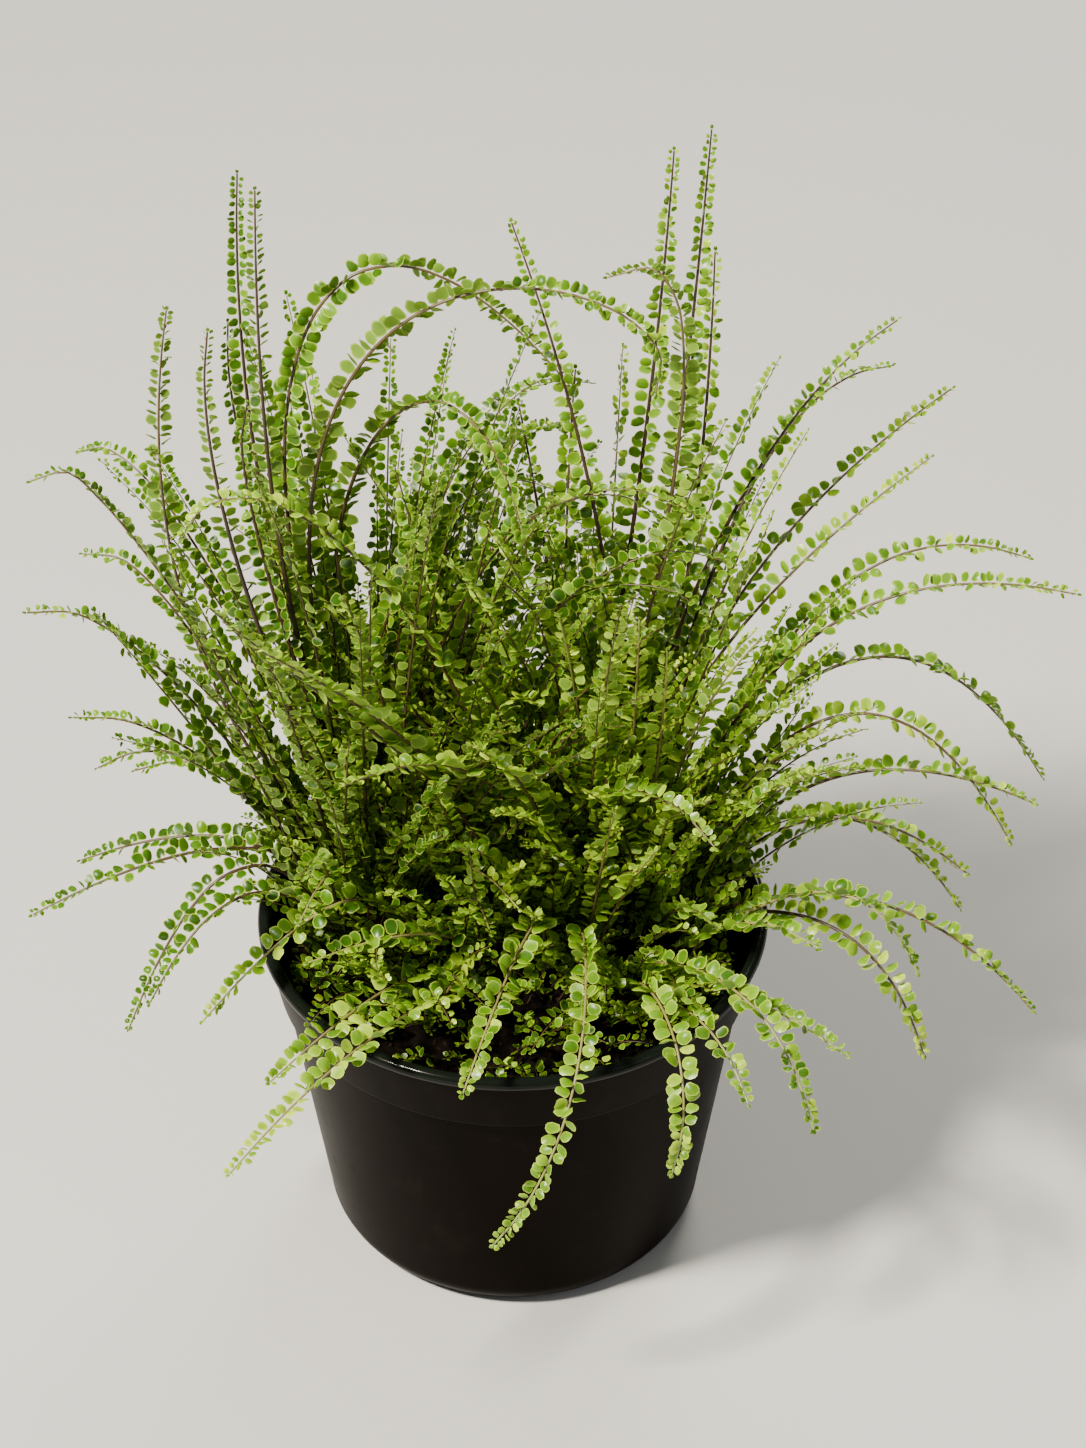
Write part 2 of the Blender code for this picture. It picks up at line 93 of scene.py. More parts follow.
# Peat, in mm apart from counts and shares
SOIL_TOP = 109.0
SOIL_EDGE = 106.0
SOIL_FLAT = 68.0
SOIL_GAP = 0.35
SOIL_RINGS = 60
SOIL_SPOKES = 150
SOIL_WAVES = (34.0, 19.0, 11.0, 7.0, 4.5, 3.0)
LUMP_SHARE = 0.016
CRUMBS_PER_M2 = 100000
CRUMB_STRETCHES = (1.0, 1.2, 1.7, 2.6)
CRUMB_GAMMA = (2.2, 0.45)
LEAST_CRUMB = 0.5
MOST_CRUMB = 3.4

# Reading the ribs out of the solids
WELD = 1e-5
STATION_REACH = 1.8 * MM
RIB_STEP = 1.5
STATION_RADIUS = 1.35 * MM
SHORTEST_REACH = 42.0
FOOT_BAND = 0.2 * MM
TUFT_RADIUS = 5.0 * MM
RIB_DEPTH = 4.0

# Leaflets and stems: lengths in mm, shares of a leaflet or of a frond, angles
EDGE_POINTS = 12
SMALL_EDGE_POINTS = 8
INNER_RING = 0.31
LEAFLET_BREADTH = 0.86
BLUNTNESS = 0.86
FOOT_SHARE = 0.60
FOOT_RUN = 0.12
TIP_SHARE = 0.34
TIP_RUN = 0.34
LEAST_SPACING = 0.56
LEAST_DEPTH = 2.5
CUP = math.radians(24.0)
CUP_SPREAD = math.radians(18.0)
SWEEP = math.radians(7.0)
SWEEP_SPREAD = math.radians(11.0)
SMALL_SWEEP = 0.6
ROLL_SPREAD = math.radians(24.0)
LIGHT_SEEKING = 0.32
STALK = 0.60
TONE_DROP = 0.06
YOUNG_TONE = 0.20
TONE_SPREAD = 0.13
LEAFY_FROM = 0.12
LEAFY_ABOVE = 14.0
STEM_TIP_RADIUS = 0.30
STEM_STATION = 4.0

# Dome, twist and fold of each kind of leaflet
LEAFLET_SHAPES = ((0.10, 0.05, 0.00), (0.15, -0.06, 0.03), (-0.06, 0.04, -0.02), (0.05, -0.08, 0.05),
                  (0.12, 0.10, 0.00))
SMALL_LEAFLET_SHAPES = ((0.12, 0.05, 0.02), (0.02, -0.08, 0.04), (-0.05, 0.06, 0.0))

# The plant's parts: node numbers, leaflet length, spacing, stem radius at the foot, paleness 0 to 1,
# stem colour at foot and tip. The paleness holds painted shade: the left crown's groups are set darker
# and the lit right and front groups paler, for how the light falls.
FROND_GROUPS = {
    "arching_fronds": (range(1, 5), 5.1, 3.2, 0.90, 0.36, 0.05, 0.74),
    "front_right_fronds": (range(5, 9), 5.0, 3.8, 0.50, 0.42, 0.65, 0.95),
    "front_left_fronds": (range(9, 13), 5.3, 3.8, 0.55, 0.47, 0.55, 0.90),
    "left_spreading_fronds": (range(13, 19), 4.7, 3.8, 0.75, 0.15, 0.05, 0.62),
    "left_upright_fronds": (range(19, 23), 4.3, 4.3, 1.10, 0.17, 0.0, 0.33),
    "right_spreading_fronds": (range(23, 30), 5.0, 4.1, 0.75, 0.52, 0.10, 0.68),
    "right_upright_fronds": (range(30, 35), 4.7, 4.4, 1.10, 0.44, 0.0, 0.36),
    "crossing_fronds": (range(35, 39), 5.5, 3.4, 0.75, 0.52, 0.05, 0.62),
    "middle_fronds": (range(39, 43), 4.9, 3.6, 0.70, 0.46, 0.05, 0.62),
    "young_right_fronds": (range(43, 49), 4.5, 3.5, 0.50, 0.56, 0.40, 0.90),
    "young_filling_fronds": (range(49, 59), 4.3, 3.4, 0.50, 0.46, 0.35, 0.90),
}

# Small fronds of each bed: middle x and y, spread, count, least and most length, steepness 0 to 1,
# leaflet length, paleness 0 to 1. The paleness holds painted shade: the left crown's beds, above all
# left_bush, are set darker for the shade on that side and in the recess low on the left.
SPRIG_BEDS = {
    "left_arching_sprigs": (-50, 32, 18, 15, 215, 270, 0.97, 4.5, 0.33),
    "left_tall_sprigs": (-46, 32, 24, 32, 180, 245, 0.97, 4.4, 0.16),
    "left_filling_sprigs": (-48, 38, 11, 9, 150, 225, 0.97, 4.4, 0.18),
    "right_tall_sprigs": (26, 40, 24, 18, 170, 238, 0.97, 4.5, 0.42),
    "left_bush": (-50, 24, 28, 116, 70, 205, 0.84, 3.8, 0.10),
    "right_bush": (38, 28, 28, 124, 65, 165, 0.88, 3.8, 0.46),
    "middle_bush": (-4, 18, 32, 98, 50, 135, 0.85, 3.6, 0.44),
    "left_sprigs": (-44, 0, 34, 104, 24, 74, 0.50, 3.5, 0.38),
    "right_sprigs": (38, -4, 36, 112, 24, 74, 0.50, 3.5, 0.42),
    "front_sprigs": (-4, -30, 40, 74, 18, 40, 0.25, 3.1, 0.36),
    "back_sprigs": (0, 50, 27, 40, 28, 60, 0.4, 3.4, 0.36),
}
# How small fronds lean: heading and half its range in degrees, least and most bow in radians, late bending
ALL_ROUND = (0, 180, 0.3, 1.3, 1.4)
SPRIG_LEANS = {
    "left_arching_sprigs": (18, 40, 1.9, 2.6, 4.5),
    "left_tall_sprigs": (0, 180, 0.0, 0.5, 1.6),
    "left_filling_sprigs": (80, 70, 0.0, 0.45, 1.6),
    "right_tall_sprigs": (0, 180, 0.0, 0.5, 1.6),
    "left_bush": (0, 180, 0.1, 0.9, 1.6),
    "right_bush": (0, 180, 0.1, 0.8, 1.6),
    "middle_bush": (0, 180, 0.1, 0.7, 1.6),
}
SPRIG_LIMIT = 72.0
SPRIG_CLEARANCE = 4.0
SPRIG_DEPTH = 3.0
SPRIG_SHRINK = 0.88
SPRIG_STEPS = 9
SPRIG_FOOT_RADIUS = 0.25
SPRIG_FOOT_SWELL = 0.0022
SPRIG_TIP_RADIUS = 0.16
SPRIG_TIP_TONE = 0.60
SPRIG_LEAFY_FROM = 0.12
SPRIG_LEAFY_RISE = 0.14
SPRIG_SPACING = 0.88
GOLDEN_ANGLE = math.radians(137.508)

# Camera, found from the pot's rim and foot in the picture
LENS = 100.0
SENSOR = 36.0
PITCH_DOWN = 38.5
CAMERA_PLACE = (0.0100, -1.0104, 1.0066)
FLOOR_REACH = 4.0


class Wire:
    """An output socket. Arithmetic on wires and numbers adds the maths nodes that work it out."""

    def __init__(self, bench, socket):
        self.bench = bench
        self.socket = socket

    def maths(self, operation, *values):
        return self.bench.node("ShaderNodeMath", {"operation": operation}, dict(enumerate(values)))[0]

    def __add__(self, other):
        return self.maths("ADD", self, other)

    def __sub__(self, other):
        return self.maths("SUBTRACT", self, other)

    def __rsub__(self, other):
        return self.maths("SUBTRACT", other, self)

    def __mul__(self, other):
        return self.maths("MULTIPLY", self, other)

    __radd__ = __add__
    __rmul__ = __mul__

    def ease(self, low, high):
        """0 below low, 1 above high and a soft step between them."""
        values = {"Value": self, "From Min": low, "From Max": high}
        return self.bench.node("ShaderNodeMapRange", {"interpolation_type": "SMOOTHSTEP"}, values)[0]


class Outputs:
    """A node's outputs as wires, by name or place."""

    def __init__(self, bench, node):
        self.bench = bench
        self.node = node

    def __getitem__(self, key):
        return Wire(self.bench, self.node.outputs[key])


class Bench:
    """A node tree being wired up, for a finish or for a modifier."""

    def __init__(self, tree):
        self.tree = tree
        tree.nodes.clear()

    def node(self, kind, settings=None, values=None):
        """Add a node, with its settings first and then the values or wires of its sockets."""
        node = self.tree.nodes.new(kind)
        for name, value in (settings or {}).items():
            if name == "stops":
                self.set_stops(node.color_ramp, value)
            else:
                setattr(node, name, value)
        for key, value in (values or {}).items():
            if isinstance(value, Wire):
                self.tree.links.new(value.socket, node.inputs[key])
            else:
                node.inputs[key].default_value = value
        return Outputs(self, node)

    @staticmethod
    def set_stops(ramp, stops):
        while len(ramp.elements) < len(stops):
            ramp.elements.new(1.0)
        for element, (place, colour) in zip(ramp.elements, stops):
            element.position = place
            element.color = (*colour, 1.0)

    def ramp(self, value, stops):
        return self.node("ShaderNodeValToRGB", {"stops": stops}, {"Fac": value})["Color"]

    def blend(self, share, first, second):
        """Mix two colours; a plain colour is given as three numbers."""
        ends = [end if isinstance(end, Wire) else (*end, 1.0) for end in (first, second)]
        return self.node("ShaderNodeMix", {"data_type": "RGBA"}, {0: share, 6: ends[0], 7: ends[1]})[2]

    def attribute(self, name):
        return self.node("ShaderNodeAttribute", {"attribute_name": name})

    def noise(self, place, scale, detail=3.0, roughness=0.55):
        values = {"Vector": place, "Scale": scale, "Detail": detail, "Roughness": roughness}
        return self.node("ShaderNodeTexNoise", {}, values)["Fac"]


def new_finish(name):
    """An empty material, and the bench on which its nodes are wired."""
    material = bpy.data.materials.new(name)
    material.use_nodes = True
    return material, Bench(material.node_tree)


def place_of(bench):
    return bench.node("ShaderNodeTexCoord")["Object"]


def leaf_finish():
    """Glossy round leaflets: pale thin edge, greener middle, paler dull underside."""
    material, bench = new_finish("fern leaflet")
    place = place_of(bench)
    tone = bench.attribute("tone")["Fac"]
    edge = bench.attribute("edge")["Fac"]
    under = bench.attribute("underside")["Fac"]
    mottle = bench.noise(place, 420.0, 2.0)
    patch = bench.noise(place, 60.0, 2.0)
    # tone brings each leaflet's paleness, which holds the groups' painted shade on the left crown.
    shade = tone + (mottle - 0.5) * 0.22 + (patch - 0.5) * 0.25
    green = bench.ramp(shade, ((0.0, (0.011, 0.042, 0.001)), (0.28, (0.042, 0.130, 0.0012)),
                               (0.58, (0.185, 0.370, 0.003)), (1.0, (0.700, 0.880, 0.040))))
    middle = bench.blend((1 - edge.ease(0.0, 0.75)) * 0.30, green, (0.042, 0.135, 0.002))
    rimmed = bench.blend(edge.ease(0.80, 0.96) * 0.60, middle, (0.660, 0.800, 0.100))
    colour = bench.blend(under * 0.40, rimmed, (0.240, 0.380, 0.040))
    gloss = 0.34 + under * 0.3 + (mottle - 0.5) * 0.2
    bump = bench.node("ShaderNodeBump", {}, {"Strength": 0.25, "Distance": 0.0003, "Height": mottle})
    skin = bench.node("ShaderNodeBsdfPrincipled", {}, {
        "Base Color": colour, "Roughness": gloss, "Normal": bump["Normal"], "Specular IOR Level": 0.50})
    glow = bench.node("ShaderNodeBsdfTranslucent", {}, {"Color": (0.52, 0.76, 0.015, 1.0)})
    mixed = bench.node("ShaderNodeMixShader", {}, {0: 0.30, 1: skin["BSDF"], 2: glow["BSDF"]})
    bench.node("ShaderNodeOutputMaterial", {}, {"Surface": mixed["Shader"]})
    return material


def stem_finish():
    """Wiry stems: dark brown at the foot, tan and then green towards the tip."""
    material, bench = new_finish("fern stem")
    place = place_of(bench)
    along = bench.attribute("along")["Fac"]
    streak = bench.noise(place, 300.0, 3.0)
    colour = bench.ramp(along + (streak - 0.5) * 0.15, (
        (0.0, (0.022, 0.010, 0.007)), (0.35, (0.050, 0.024, 0.011)), (0.62, (0.118, 0.083, 0.030)),
        (0.84, (0.260, 0.220, 0.070)), (1.0, (0.300, 0.430, 0.080))))
    bump = bench.node("ShaderNodeBump", {}, {"Strength": 0.3, "Distance": 0.0002, "Height": streak})
    skin = bench.node("ShaderNodeBsdfPrincipled", {}, {
        "Base Color": colour, "Roughness": 0.42 + (streak - 0.5) * 0.2, "Normal": bump["Normal"]})
    bench.node("ShaderNodeOutputMaterial", {}, {"Surface": skin["BSDF"]})
    return material


def pot_finish():
    """Black moulded plastic with a satin wall and a glossier green-black lip; the wall's faint warm brown
    cast and the warm specular tint are painted reflection of brown surroundings.
    """
    material, bench = new_finish("black grower plastic")
    place = place_of(bench)
    split = bench.node("ShaderNodeSeparateXYZ", {}, {"Vector": place})
    lip = split["Z"].ease(0.1195, 0.1212)
    cloud = bench.noise(place, 22.0, 4.0)
    grain = bench.noise(place, 1500.0, 2.0)
    drawn = bench.node("ShaderNodeMapping", {}, {"Vector": place, "Scale": (1.0, 1.0, 0.05)})["Vector"]
    drag = bench.noise(drawn, 500.0, 2.0)
    dust = bench.noise(place, 75.0, 6.0, 0.7).ease(0.52, 0.80)
    # The warm brown in the wall's near-blacks is painted reflection, on top of the black plastic and its
    # cloudiness.
    wall = bench.blend(cloud, (0.0018, 0.0011, 0.0008), (0.0050, 0.0030, 0.0020))
    dusty = bench.blend(dust * 0.06, wall, (0.110, 0.085, 0.062))
    colour = bench.blend(lip, dusty, (0.0045, 0.0065, 0.0048))
    gloss = (1 - lip) * (0.36 + (cloud - 0.5) * 0.16 + dust * 0.14) + lip * (0.20 + (cloud - 0.5) * 0.10)
    height = grain * 0.6 + drag * 0.4
    bump = bench.node("ShaderNodeBump", {}, {"Strength": 0.12, "Distance": 0.0003, "Height": height})
    # Specular Tint warms the pot's reflections: painted reflection of brown surroundings.
    skin = bench.node("ShaderNodeBsdfPrincipled", {}, {
        "Base Color": colour, "Roughness": gloss, "Normal": bump["Normal"], "Specular IOR Level": 0.02,
        "Specular Tint": (1.0, 0.80, 0.62, 1.0), "Coat Weight": lip * 0.22, "Coat Roughness": 0.10})
    bench.node("ShaderNodeOutputMaterial", {}, {"Surface": skin["BSDF"]})
    return material


def peat_finish():
    """Damp dark peat with fibres and a few orange-brown specks; its colours are darkened below the peat's
    own as painted shade from the fronds above.
    """
    material, bench = new_finish("peat soil")
    place = place_of(bench)
    clod = bench.noise(place, 180.0, 5.0, 0.65)
    fleck = bench.noise(place, 520.0, 2.0).ease(0.60, 0.72)
    shade = bench.attribute("tone")["Fac"]
    # Peat colours, darkened throughout as painted shade cast by the fronds.
    peat_and_painted_shade = bench.ramp(clod * 0.6 + shade * 0.5, (
        (0.15, (0.0009, 0.0007, 0.0006)), (0.50, (0.0028, 0.0018, 0.0012)), (0.80, (0.018, 0.008, 0.004)),
        (1.0, (0.180, 0.070, 0.020))))
    colour = bench.blend(fleck * 0.20, peat_and_painted_shade, (0.080, 0.034, 0.013))
    bump = bench.node("ShaderNodeBump", {}, {"Strength": 0.6, "Distance": 0.001, "Height": clod})
    skin = bench.node("ShaderNodeBsdfPrincipled", {}, {
        "Base Color": colour, "Roughness": 0.82 + (clod - 0.5) * 0.3, "Normal": bump["Normal"],
        "Specular IOR Level": 0.06})
    bench.node("ShaderNodeOutputMaterial", {}, {"Surface": skin["BSDF"]})
    return material


def floor_finish():
    material, bench = new_finish("pale floor")
    skin = bench.node("ShaderNodeBsdfPrincipled", {}, {
        "Base Color": (0.56, 0.55, 0.54, 1.0), "Roughness": 0.6})
    bench.node("ShaderNodeOutputMaterial", {}, {"Surface": skin["BSDF"]})
    return material


def new_object(name, mesh):
    obj = bpy.data.objects.new(name, mesh)
    bpy.context.scene.collection.objects.link(obj)
    return obj


def mesh_from(name, points, edges=(), faces=()):
    mesh = bpy.data.meshes.new(name)
    mesh.from_pydata([tuple(point) for point in points], list(edges), list(faces))
    mesh.update()
    return mesh


def give_attribute(mesh, name, kind, values, domain="POINT"):
    """Store one value, or one direction, for each point or face of a mesh."""
    layer = mesh.attributes.new(name, kind, domain)
    field = "vector" if kind == "FLOAT_VECTOR" else "value"
    layer.data.foreach_set(field, np.asarray(values).ravel())


def new_tree(name, inputs):
    """An empty geometry tree with a mesh in and out and named inputs: (name, type, default)."""
    tree = bpy.data.node_groups.new(name, "GeometryNodeTree")
    tree.interface.new_socket("Geometry", in_out="INPUT", socket_type="NodeSocketGeometry")
    for label, kind, default in inputs:
        socket = tree.interface.new_socket(label, in_out="INPUT", socket_type=kind)
        if default is not None:
            socket.default_value = default
    tree.interface.new_socket("Geometry", in_out="OUTPUT", socket_type="NodeSocketGeometry")
    return tree


def grown(name, start, tree, settings):
    """Run a geometry tree on a start mesh and return the plain mesh that comes out."""
    obj = new_object(name + " start", start)
    modifier = obj.modifiers.new("grow", "NODES")
    modifier.node_group = tree
    for item in tree.interface.items_tree:
        if item.item_type == "SOCKET" and item.in_out == "INPUT" and item.name in settings:
            modifier[item.identifier] = settings[item.name]
    depsgraph = bpy.context.evaluated_depsgraph_get()
    mesh = bpy.data.meshes.new_from_object(obj.evaluated_get(depsgraph))
    mesh.name = name
    bpy.data.objects.remove(obj)
    bpy.data.meshes.remove(start)
    return mesh


def named(bench, name, kind):
    return bench.node("GeometryNodeInputNamedAttribute", {"data_type": kind}, {"Name": name})["Attribute"]


def planting_tree():
    """Sets a leaflet, or a crumb, on each point, turned by its face and reach directions."""
    tree = new_tree("plant on points", (
        ("Kinds", "NodeSocketCollection", None), ("Size", "NodeSocketFloat", 1.0),
        ("Tumble", "NodeSocketFloat", 0.1), ("Seed", "NodeSocketInt", 0),
        ("Finish", "NodeSocketMaterial", None)))
    bench = Bench(tree)
    given = bench.node("NodeGroupInput")
    turned = bench.node("FunctionNodeAxesToRotation", {"primary_axis": "Z", "secondary_axis": "Y"}, {
        "Primary Axis": named(bench, "face", "FLOAT_VECTOR"),
        "Secondary Axis": named(bench, "reach", "FLOAT_VECTOR")})["Rotation"]
    chance = bench.node("FunctionNodeRandomValue", {"data_type": "FLOAT_VECTOR"}, {
        0: (-1.0, -1.0, -1.0), 1: (1.0, 1.0, 1.0), "Seed": given["Seed"]})[0]
    tumble = bench.node("ShaderNodeVectorMath", {"operation": "SCALE"}, {
        0: chance, "Scale": given["Tumble"]})[0]
    wobble = bench.node("FunctionNodeEulerToRotation", {}, {"Euler": tumble})["Rotation"]
    loose = bench.node("FunctionNodeRotateRotation", {"rotation_space": "LOCAL"}, {
        "Rotation": turned, "Rotate By": wobble})["Rotation"]
    scale = bench.node("ShaderNodeVectorMath", {"operation": "SCALE"}, {
        0: named(bench, "size", "FLOAT_VECTOR"), "Scale": given["Size"]})[0]
    kinds = bench.node("GeometryNodeCollectionInfo", {}, {
        "Collection": given["Kinds"], "Separate Children": True, "Reset Children": True})[0]
    planted = bench.node("GeometryNodeInstanceOnPoints", {}, {
        "Points": given["Geometry"], "Instance": kinds, "Pick Instance": True,
        "Instance Index": named(bench, "kind", "INT"), "Rotation": loose, "Scale": scale})[0]
    solid = bench.node("GeometryNodeRealizeInstances", {}, {"Geometry": planted})[0]
    finished = bench.node("GeometryNodeSetMaterial", {}, {"Geometry": solid, "Material": given["Finish"]})[0]
    bench.node("NodeGroupOutput", {}, {"Geometry": finished})
    return tree


def stem_tree():
    """Sweeps a round stem along each line of edges, as thick as its points say."""
    tree = new_tree("sweep stems", (
        ("Sides", "NodeSocketInt", 6), ("Thickness", "NodeSocketFloat", 1.0),
        ("Finish", "NodeSocketMaterial", None)))
    bench = Bench(tree)
    given = bench.node("NodeGroupInput")
    line = bench.node("GeometryNodeMeshToCurve", {}, {"Mesh": given["Geometry"]})[0]
    width = named(bench, "thickness", "FLOAT") * given["Thickness"]
    ring = bench.node("GeometryNodeCurvePrimitiveCircle", {}, {
        "Resolution": given["Sides"], "Radius": 1.0})[0]
    tube = bench.node("GeometryNodeCurveToMesh", {}, {
        "Curve": line, "Profile Curve": ring, "Scale": width, "Fill Caps": True})[0]
    solid = bench.node("GeometryNodeRealizeInstances", {}, {"Geometry": tube})[0]
    finished = bench.node("GeometryNodeSetMaterial", {}, {"Geometry": solid, "Material": given["Finish"]})[0]
    bench.node("NodeGroupOutput", {}, {"Geometry": finished})
    return tree


def kinds_collection(name, meshes):
    """A collection that is never shown, holding the shapes that are planted on points."""
    group = bpy.data.collections.new(name)
    for index, mesh in enumerate(meshes):
        group.objects.link(bpy.data.objects.new("%s %02d" % (name, index), mesh))
    return group


def drop_collection(group):
    for obj in list(group.objects):
        bpy.data.objects.remove(obj)
    bpy.data.collections.remove(group)


def leaflet_shape(name, around, dome, twist, fold):
    """One button: a thin closed round leaf 1 long and 1 wide, its foot at the origin.

    dome lifts the middle, twist winds the edge and fold drops both halves from the midrib.
    A leaflet with fewer than EDGE_POINTS around has no inner ring."""
    inner = around // 2 if around >= EDGE_POINTS else 0
    points, edge = [], []

    def add(x, y, z, share):
        points.append((x, y, z))
        edge.append(share)

    def surface(x, y):
        away = x * x * 4 + (y - 0.5) ** 2 * 4
        return dome * (1 - away) + twist * x * (y - 0.5) * 4 - fold * abs(x) * 2

    for index in range(around):
        angle = math.tau * index / around
        wave = 1 + 0.05 * math.sin(3 * angle + twist * 40) + 0.04 * math.sin(5 * angle + fold * 30)
        x = 0.5 * math.copysign(abs(math.sin(angle)) ** BLUNTNESS, math.sin(angle)) * wave
        y = 0.5 - 0.5 * math.copysign(abs(math.cos(angle)) ** BLUNTNESS, math.cos(angle)) * wave
        if index == 0:
            y = 0.03
        add(x, y, surface(x, y), 1.0)
    for index in range(inner):
        angle = math.tau * (2 * index + 0.5) / around
        x = INNER_RING * math.sin(angle)
        y = 0.5 - INNER_RING * math.cos(angle)
        add(x, y, surface(x, y) + 0.02, 0.62)
    add(0.0, 0.46, surface(0.0, 0.46) + 0.03 - fold * 0.2, 0.0)
    add(0.0, 0.5, surface(0.0, 0.5) * 0.45 - 0.05, 0.3)
    faces, under = [], []
    top, bottom = around + inner, around + inner + 1
    if not inner:
        faces += [(index, (index + 1) % around, top) for index in range(around)]
        faces += [((index + 1) % around, index, bottom) for index in range(around)]
        under += [0.0] * around + [1.0] * around
    for index in range(inner):
        a = 2 * index
        b, c = a + 1, (a + 2) % around
        ring, following = around + index, around + (index + 1) % inner
        faces += [(a, b, ring), (b, c, following), (b, following, ring), (ring, following, top)]
        under += [0.0] * 4
        faces += [(b, a, bottom), (c, b, bottom)]
        under += [1.0] * 2
    mesh = mesh_from(name, points, faces=faces)
    bm = bmesh.new()
    bm.from_mesh(mesh)
    bmesh.ops.recalc_face_normals(bm, faces=bm.faces)
    bm.to_mesh(mesh)
    bm.free()
    give_attribute(mesh, "edge", "FLOAT", edge)
    give_attribute(mesh, "underside", "FLOAT", under, "FACE")
    mesh.shade_smooth()
    mesh.set_sharp_from_angle(angle=math.radians(75.0))
    return mesh


def crumb_shape(name, rng, stretch):
    """A crumb of peat about 1 across, longer one way by stretch."""
    bm = bmesh.new()
    bmesh.ops.create_icosphere(bm, subdivisions=1, radius=0.5)
    for vert in bm.verts:
        vert.co *= 1.0 + rng.uniform(-0.28, 0.28)
        vert.co.x *= stretch
    mesh = bpy.data.meshes.new(name)
    bm.to_mesh(mesh)
    bm.free()
    return mesh


def leaflet_kinds(name, around, shapes):
    """One leaflet for each dome, twist and fold in shapes."""
    return kinds_collection(name + " kinds", [
        leaflet_shape("%s %d" % (name, number), around, *shape) for number, shape in enumerate(shapes)])


class Rib:
    """A frond's rib as closely spaced points, with its sideways and upward directions."""

    def __init__(self, stations, sides):
        """Stations run from root to tip, in mm; sides holds a direction for each."""
        stations = np.asarray(stations, float)
        sides = np.asarray(sides, float)
        before = np.vstack([2 * stations[0] - stations[1], stations[:-1]])
        after = np.vstack([stations[1:], 2 * stations[-1] - stations[-2]])
        slopes = (after - before) / 2
        points, across = [], []
        for index in range(len(stations) - 1):
            start, end = stations[index], stations[index + 1]
            steps = max(2, round(np.linalg.norm(end - start) / RIB_STEP))
            for share in np.arange(steps) / steps:
                points.append((2 * share**3 - 3 * share**2 + 1) * start
                              + (share**3 - 2 * share**2 + share) * slopes[index]
                              + (3 * share**2 - 2 * share**3) * end
                              + (share**3 - share**2) * slopes[index + 1])
                across.append(sides[index] * (1 - share) + sides[index + 1] * share)
        points.append(stations[-1])
        across.append(sides[-1])
        self.points = np.array(points)
        self.across = np.array(across)
        gaps = np.linalg.norm(np.diff(self.points, axis=0), axis=1)
        self.lengths = np.concatenate([[0.0], np.cumsum(gaps)])
        self.length = self.lengths[-1]
        self.tangents = np.gradient(self.points, self.lengths, axis=0)

    def at(self, distances):
        """Points, tangents, sides and ups at an array of distances from the root."""
        def mixed(rows):
            return np.stack([np.interp(distances, self.lengths, rows[:, axis]) for axis in range(3)], axis=1)
        tangents = unit(mixed(self.tangents))
        sides = mixed(self.across)
        sides = unit(sides - tangents * np.sum(sides * tangents, axis=1, keepdims=True))
        return mixed(self.points), tangents, sides, np.cross(sides, tangents)


def unit(rows):
    """Each row at length 1."""
    return rows / np.maximum(np.linalg.norm(rows, axis=-1, keepdims=True), 1e-9)


def stations_of(bm):
    """Vertices joined by edges shorter than a stem is wide, as one list for each station."""
    station = {}
    for vert in bm.verts:
        if vert in station:
            continue
        members = []
        station[vert] = members
        waiting = [vert]
        while waiting:
            near = waiting.pop()
            members.append(near)
            for edge in near.link_edges:
                other = edge.other_vert(near)
                if other not in station and edge.calc_length() < STATION_REACH:
                    station[other] = members
                    waiting.append(other)
    return station


def middle_and_side(members):
    """A station's point on the rib, and the frond's sideways direction where it has leaflets."""
    places = [vert.co for vert in members]
    if len(places) != 3:
        return sum(places, Vector()) / len(places), None
    pairs = ((0, 1, 2), (0, 2, 1), (1, 2, 0))
    top, bottom, notch = max(pairs, key=lambda pair: (places[pair[0]] - places[pair[1]]).length)
    middle = (places[top] + places[bottom]) / 2
    return middle, (middle - places[notch]).normalized()


def is_station(members):
    """Whether the vertices stand as close about the rib as a stem's ring or a leafy station does."""
    if len(members) not in (3, 4):
        return False
    middle = middle_and_side(members)[0]
    return max((vert.co - middle).length for vert in members) < STATION_RADIUS


def distances_along(bm, starts):
    """How far each vertex lies from the root, along the solid's edges."""
    far = {vert: 0.0 for vert in starts}
    waiting = [(0.0, vert.index) for vert in starts]
    bm.verts.ensure_lookup_table()
    while waiting:
        distance, index = heapq.heappop(waiting)
        vert = bm.verts[index]
        if distance > far[vert]:
            continue
        for edge in vert.link_edges:
            other = edge.other_vert(vert)
            longer = distance + edge.calc_length()
            if longer < far.get(other, math.inf):
                far[other] = longer
                heapq.heappush(waiting, (longer, other.index))
    return far


def read_ribs(node):
    """The ribs of a CAD frond, or of the two fronds of a pair, read from its faceted solid."""
    bm = bmesh.new()
    bm.from_mesh(frame["nodes"][node].data)
    bmesh.ops.remove_doubles(bm, verts=bm.verts, dist=WELD)
    bm.verts.index_update()
    inside = [vert for vert in bm.verts if vert.co.to_2d().length < SOIL_FLAT * MM]
    lowest = min(vert.co.z for vert in inside)
    feet = [vert for vert in inside if vert.co.z < lowest + FOOT_BAND]
    root = sum((vert.co for vert in feet), Vector()) / len(feet)
    far = distances_along(bm, feet)
    groups = stations_of(bm)
    stations = {id(group): group for group in groups.values() if is_station(group)}
    ribs = []
    for members in stations.values():
        reach = far[members[0]]
        around = neighbours(members, groups, stations)
        if len(members) == 3 and reach > SHORTEST_REACH * MM and not any(
                far[other[0]] > reach + STATION_REACH for other in around):
            ribs.append(walk_down(members, groups, stations, far, root))
    bm.free()
    wanted = 2 if "pair" in node else 1
    if len(ribs) != wanted:
        raise ValueError("%s has %d ribs where %d were drawn" % (node, len(ribs), wanted))
    return ribs


